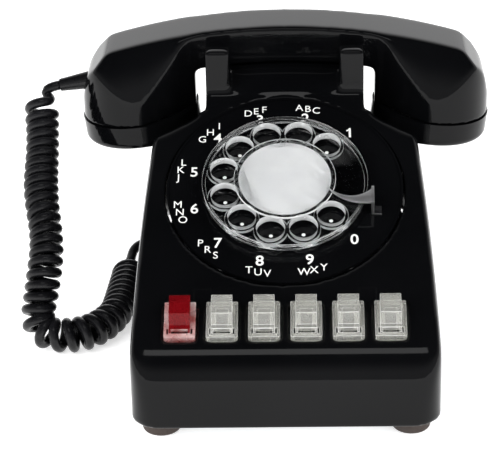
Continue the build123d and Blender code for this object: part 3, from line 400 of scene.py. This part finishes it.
def relaxed(mesh, passes, weight_at):
    """Eases a fine mesh's edges: each pass moves a point towards its neighbours' middle."""
    count = len(mesh.vertices)
    places = np.empty(count * 3)
    mesh.vertices.foreach_get("co", places)
    places = places.reshape(count, 3)
    edges = np.empty(len(mesh.edges) * 2, dtype=np.int64)
    mesh.edges.foreach_get("vertices", edges)
    one, two = edges.reshape(-1, 2).T
    ends, others = np.concatenate((one, two)), np.concatenate((two, one))
    near = np.maximum(np.bincount(ends, minlength=count), 1)
    pull = 0.5 * weight_at(places)[:, None]
    for _ in range(passes):
        sums = np.column_stack([
            np.bincount(ends, weights=places[others, axis], minlength=count) for axis in range(3)])
        places = places + pull * (sums / near[:, None] - places)
    mesh.vertices.foreach_set("co", places.ravel())
    mesh.update()


def moulded_copy(node, voxel, passes, weight_at, reshape=None):
    """A moulded part with the soft edges that its mould leaves, in place of its CAD solid."""
    source = bpy.data.objects.new("source", NODES[node].data.copy())
    source.data.transform(NODES[node].matrix_world)
    bpy.context.scene.collection.objects.link(source)
    skin = source.modifiers.new("skin", "REMESH")
    skin.mode = "VOXEL"
    skin.voxel_size = voxel
    mesh = plain_mesh(source)
    bpy.data.objects.remove(source)
    mesh.materials.clear()
    relaxed(mesh, passes, weight_at)
    if reshape:
        for vertex in mesh.vertices:
            vertex.co = reshape(vertex.co)
    mesh.shade_smooth()
    piece = add_piece(node + "_moulded", mesh, body_of_node(node), SLOT_OF[node])
    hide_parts(node)


KEYS_ALONG = -76.9 * MM
KEYS_HALF = (64 * MM, 15 * MM)
RING_R = 56.5 * MM
CRADLE_Z, CRADLE_HALF, SADDLE_HALF = 104 * MM, 46 * MM, 23 * MM
LOWER_RIM_Z = 9.5 * MM
CUP_SEAM_Z = 101 * MM


def housing_weight(places):
    """How far the housing's edges are eased: less at its openings and its lower rim."""
    rel = places - np.array(DIAL)
    across, along = rel[:, 0], rel @ np.array(UP_SLOPE)
    out = rel @ np.array(OUT)
    near_face = np.abs(out) < 6 * MM
    ring = np.abs(np.hypot(across, along) - RING_R) < 5 * MM
    keys = (np.abs(across) < KEYS_HALF[0]) & (np.abs(along - KEYS_ALONG) < KEYS_HALF[1])
    sideways = np.abs(places[:, 0])
    ears = (places[:, 2] > CRADLE_Z) & (sideways < CRADLE_HALF) & (sideways >= SADDLE_HALF)
    weight = np.where((near_face & keys) | ears, 0.14, 1.0)
    weight = np.where(near_face & ring, 0.25, weight)
    return np.where(places[:, 2] < LOWER_RIM_Z, 0.2, weight)


def handset_weight(places):
    """The shell's edges are eased except where its cups meet the caps."""
    return np.where(places[:, 2] < CUP_SEAM_Z, 0.12, 1.0)


HANDSET_MIDDLE_Y = 54.8 * MM
CREASE_Z = 139 * MM      # height of the handle's front crease at its middle
CREASE_FALL = 0.0021     # millimetres that the crease falls for each square millimetre sideways
LEAN = 0.17
HANDLE_END, HANDLE_FADE = 72 * MM, 20 * MM
FRONT_FADE = 10 * MM


def lean_front(place):
    """The handle's front wall leans in towards its lower edge."""
    handle = float(ease((HANDLE_END - abs(place.x)) / HANDLE_FADE))
    front = float(ease((HANDSET_MIDDLE_Y - place.y) / FRONT_FADE))
    drop = max(0.0, CREASE_Z - CREASE_FALL * (place.x / MM) ** 2 * MM - place.z)
    return place + Vector((0, LEAN * drop * handle * front, 0))


moulded_copy("housing", 1.1 * MM, 40, housing_weight)
moulded_copy("handset_shell", 0.8 * MM, 22, handset_weight, lean_front)


# Each of these picks faces by where they are, in millimetres across, along and out of the sloped face,
# and by how squarely they face out of it.

def inner_walls(across, along, out, facing):
    """The walls of the wheel's holes, not its rim, which get the painted highlight."""
    return math.hypot(across, along) < 37 and facing < 0.35


def stop_foot(across, along, out, facing):
    """The foot that lies on the number plate, which gets painted shade."""
    return out < 1.4


def key_flange(across, along, out, facing):
    """The flange round the key's finger block, which gets the painted highlight."""
    return out < 2.4


BEVEL_SEGMENTS = 2
SHARP_ANGLE = math.radians(28)
FLAT_ANGLE = math.radians(0.8)


def eased_copy(node, width, edge_material=None, also_edge=None, edge_bevels=True):
    """A sharp-edged part with small bevels that catch the light, in place of its CAD solid.
    The edge material goes on the faces that also_edge picks, and on the bevels unless edge_bevels is off; it
    carries painted highlight on the clear and red parts and painted shade on the finger stop's foot."""
    mesh = NODES[node].data.copy()
    mesh.transform(NODES[node].matrix_world)
    work = bmesh.new()
    work.from_mesh(mesh)
    bmesh.ops.remove_doubles(work, verts=work.verts, dist=1e-6)
    bmesh.ops.dissolve_limit(work, angle_limit=FLAT_ANGLE, verts=work.verts, edges=work.edges)
    sharp = [e for e in work.edges if e.is_manifold and e.calc_face_angle(0) > SHARP_ANGLE]
    for face in work.faces:
        face.material_index = 0
    made = bmesh.ops.bevel(
        work, geom=sharp, offset=width, segments=BEVEL_SEGMENTS, profile=0.6, affect="EDGES",
        clamp_overlap=True)
    for face in made["faces"]:
        face.material_index = int(edge_bevels)
    if also_edge:
        for face in work.faces:
            rel = (face.calc_center_median() - DIAL) / MM
            if also_edge(rel.x, rel.dot(UP_SLOPE), rel.dot(OUT), abs(face.normal.dot(OUT))):
                face.material_index = 1
    bmesh.ops.triangulate(work, faces=work.faces)
    mesh.materials.clear()
    mesh.materials.append(SLOT_MATERIALS[SLOT_OF[node]])
    mesh.materials.append(edge_material or SLOT_MATERIALS[SLOT_OF[node]])
    work.to_mesh(mesh)
    work.free()
    smooth_shading(mesh, 40)
    piece = add_piece(node + "_eased", mesh, body_of_node(node), SLOT_OF[node])
    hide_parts(node)


# The clear parts' hole walls and bevels get the painted highlight.
eased_copy("finger_wheel", 0.4 * MM, CLEAR_HIGHLIGHT, inner_walls)
eased_copy("card_retainer", 0.4 * MM, CLEAR_HIGHLIGHT, inner_walls)
# The hold key's flange gets the painted highlight.
eased_copy("hold_key", 0.35 * MM, RED_HIGHLIGHT, key_flange, edge_bevels=False)
# The line keys' bevels get the painted highlight.
for k in range(1, 6):
    eased_copy(f"line_key_{k}", 0.35 * MM, KEY_HIGHLIGHT)
# The stop stays chrome except its foot, which is painted dark as painted shade.
eased_copy("finger_stop", 0.25 * MM, PAINTED_SHADE, stop_foot, edge_bevels=False)


# ---------------------------------------------------------------- dial lettering

# The letters with their middle angle, step and radius, then their digit's angle and radius.
LABELS = [
    ("", 0, 0, 0, 47.0, 45.8),
    ("ABC", 77.2, 4.8, 50.3, 77.0, 44.2),
    ("DEF", 106.3, 4.65, 49.8, 105.9, 44.0),
    ("GHI", 136.0, 6.6, 49.9, 136.2, 44.6),
    ("JKL", 167.0, 5.3, 50.9, 167.0, 44.2),
    ("MNO", 196.1, 5.3, 51.2, 196.1, 44.2),
    ("PRS", 225.3, 5.7, 50.9, 226.2, 45.1),
    ("TUV", 255.9, 4.9, 50.9, 254.8, 44.6),
    ("WXY", 285.3, 5.4, 50.2, 284.9, 44.0),
    ("", 0, 0, 0, 315.9, 44.7)]
DIGIT_SIZE, DIGIT_WEIGHT = 8.0, 0.11
LETTER_SIZE = 5.7
HOLE_PITCH_R, DOT_R = 29.3, 0.9
FIRST_HOLE, HOLE_STEP = 47.0, 30.0
INK_LIFT = 0.03


def ring_place(radius, angle):
    """A place on the dial, in millimetres across and up the slope."""
    return radius * math.cos(math.radians(angle)), radius * math.sin(math.radians(angle))


def text_mesh(text, size, weight):
    data = bpy.data.curves.new("text", "FONT")
    data.body = text
    data.align_x, data.align_y = "CENTER", "CENTER"
    data.size = size * MM
    data.offset = weight * MM
    data.extrude = 0.02 * MM
    data.resolution_u = 4
    obj = bpy.data.objects.new("text", data)
    bpy.context.scene.collection.objects.link(obj)
    mesh = plain_mesh(obj)
    bpy.data.objects.remove(obj)
    return mesh


def lettering():
    """All the white marks on the number plate as one mesh."""
    ink = bmesh.new()

    def place(mesh, radius, angle):
        mesh.transform(face_matrix(*ring_place(radius, angle), INK_LIFT))
        ink.from_mesh(mesh)

    for k, (letters, middle, step, radius, digit_angle, digit_radius) in enumerate(LABELS):
        place(text_mesh(str((k + 1) % 10), DIGIT_SIZE, DIGIT_WEIGHT), digit_radius, digit_angle)
        # The letters read clockwise over the top of the dial and the other way round its foot.
        way = -1 if k < 5 else 1
        for n, letter in enumerate(letters):
            place(text_mesh(letter, LETTER_SIZE, 0.0), radius, middle + way * (n - 1) * step)
    # The digit 1 has a short flag.
    x, y = ring_place(LABELS[0][5], LABELS[0][4])
    flag = [(-0.4, 2.6), (-0.4, 1.7), (-1.6, 1.1), (-1.6, 1.9)]
    ink.faces.new([ink.verts.new(on_face(x + dx, y + dy, 2 * INK_LIFT)) for dx, dy in flag])
    for k in range(10):
        dot = face_matrix(*ring_place(HOLE_PITCH_R, FIRST_HOLE + HOLE_STEP * k), INK_LIFT)
        bmesh.ops.create_circle(ink, cap_ends=True, radius=DOT_R * MM, segments=20, matrix=dot)
    mesh = bpy.data.meshes.new("dial_lettering")
    ink.to_mesh(mesh)
    ink.free()
    add_piece("dial_lettering", mesh, "base", "card_white", WHITE_INK)


lettering()


# ---------------------------------------------------------------- small moulded marks on the face

def moulded_frames():
    """Two low rectangular outlines moulded in the face above the key row."""
    work = bmesh.new()
    wide, tall, line, rise = 7.3, 10.4, 0.5, 0.22
    from_middle, along = 37.6, -63.8
    bars = [
        (-wide / 2, 0, line, tall), (wide / 2, 0, line, tall),
        (0, tall / 2, wide, line), (0, -tall / 2, wide, line)]
    for x in (-from_middle, from_middle):
        for dx, dy, across, up in bars:
            size = Matrix.Diagonal((across * MM, up * MM, rise * MM, 1))
            place = face_matrix(x + dx, along + dy, rise / 2 - 0.02)
            bmesh.ops.create_cube(work, size=1.0, matrix=place @ size)
    bmesh.ops.bevel(work, geom=work.edges[:], offset=0.08 * MM, segments=1, affect="EDGES")
    mesh = bpy.data.meshes.new("moulded_frames")
    work.to_mesh(mesh)
    work.free()
    add_piece("moulded_frames", mesh, "base", "black_plastic")


moulded_frames()


# ---------------------------------------------------------------- floor and light

def make_floor():
    made, tree, shader = node_material("floor")
    colour = blend_colours(tree, noise_on(tree, 3.0, 2.0), (0.86, 0.86, 0.86), (0.90, 0.90, 0.90))
    tree.links.new(colour, shader.inputs["Base Color"])
    shader.inputs["Roughness"].default_value = 0.8
    shader.inputs["Specular IOR Level"].default_value = 0.2
    shader.inputs["Emission Color"].default_value = (1, 1, 1, 1)
    shader.inputs["Emission Strength"].default_value = 0.6
    mesh = bpy.data.meshes.new("floor")
    half = 4.0
    corners = [(-half, -half, 0), (half, -half, 0), (half, half, 0), (-half, half, 0)]
    mesh.from_pydata(corners, [], [(0, 1, 2, 3)])
    mesh.materials.append(made)
    floor = bpy.data.objects.new("floor", mesh)
    bpy.context.scene.collection.objects.link(floor)


GLOW_FROM = (0, 0.88, 0.47)


def make_world():
    """A studio that is bright around the table and dark overhead, with a soft glow behind the phone."""
    world = bpy.data.worlds.new("studio")
    bpy.context.scene.world = world
    world.use_nodes = True
    tree = world.node_tree
    where = tree.nodes.new("ShaderNodeTexCoord")
    split = tree.nodes.new("ShaderNodeSeparateXYZ")
    ramp = tree.nodes.new("ShaderNodeValToRGB")
    ramp.color_ramp.interpolation = "EASE"
    ends = ramp.color_ramp.elements
    ends[0].position, ends[0].color = 0.22, (0.62, 0.62, 0.63, 1)
    ends[1].position, ends[1].color = 0.75, (0.004, 0.004, 0.005, 1)
    tree.links.new(where.outputs["Generated"], split.inputs["Vector"])
    tree.links.new(split.outputs["Z"], ramp.inputs["Fac"])
    glow_at = tree.nodes.new("ShaderNodeVectorMath")
    glow_at.operation = "DOT_PRODUCT"
    glow_at.inputs[1].default_value = GLOW_FROM
    tree.links.new(where.outputs["Generated"], glow_at.inputs[0])
    glow = spread(tree, glow_at.outputs["Value"], 0.0, 1.0, 0.74, 1.0)
    both = tree.nodes.new("ShaderNodeVectorMath")
    tree.links.new(ramp.outputs["Color"], both.inputs[0])
    tree.links.new(glow, both.inputs[1])
    tree.links.new(both.outputs["Vector"], tree.nodes["Background"].inputs["Color"])


def add_light(name, place, target, size, power, mirrored=False):
    """A soft rectangular light; a mirrored one also shows in reflections."""
    data = bpy.data.lights.new(name, "AREA")
    data.shape = "RECTANGLE"
    data.size, data.size_y = size
    data.energy = power
    light = bpy.data.objects.new(name, data)
    bpy.context.scene.collection.objects.link(light)
    light.location = place
    light.visible_glossy = mirrored
    light.rotation_euler = (Vector(target) - Vector(place)).to_track_quat("-Z", "Y").to_euler()


make_floor()
make_world()
LOW_ON_PHONE, CRADLE = (0, 0, 0.05), (0, 0.02, 0.118)
add_light("key", (-1.0, -1.0, 1.15), LOW_ON_PHONE, (1.5, 1.5), 34)
add_light("fill", (1.2, -0.9, 0.95), LOW_ON_PHONE, (1.5, 1.5), 26)
add_light("ledge", (0, -0.55, 1.15), CRADLE, (0.5, 0.25), 1.1, mirrored=True)
bpy.context.scene.view_settings.view_transform = "Standard"
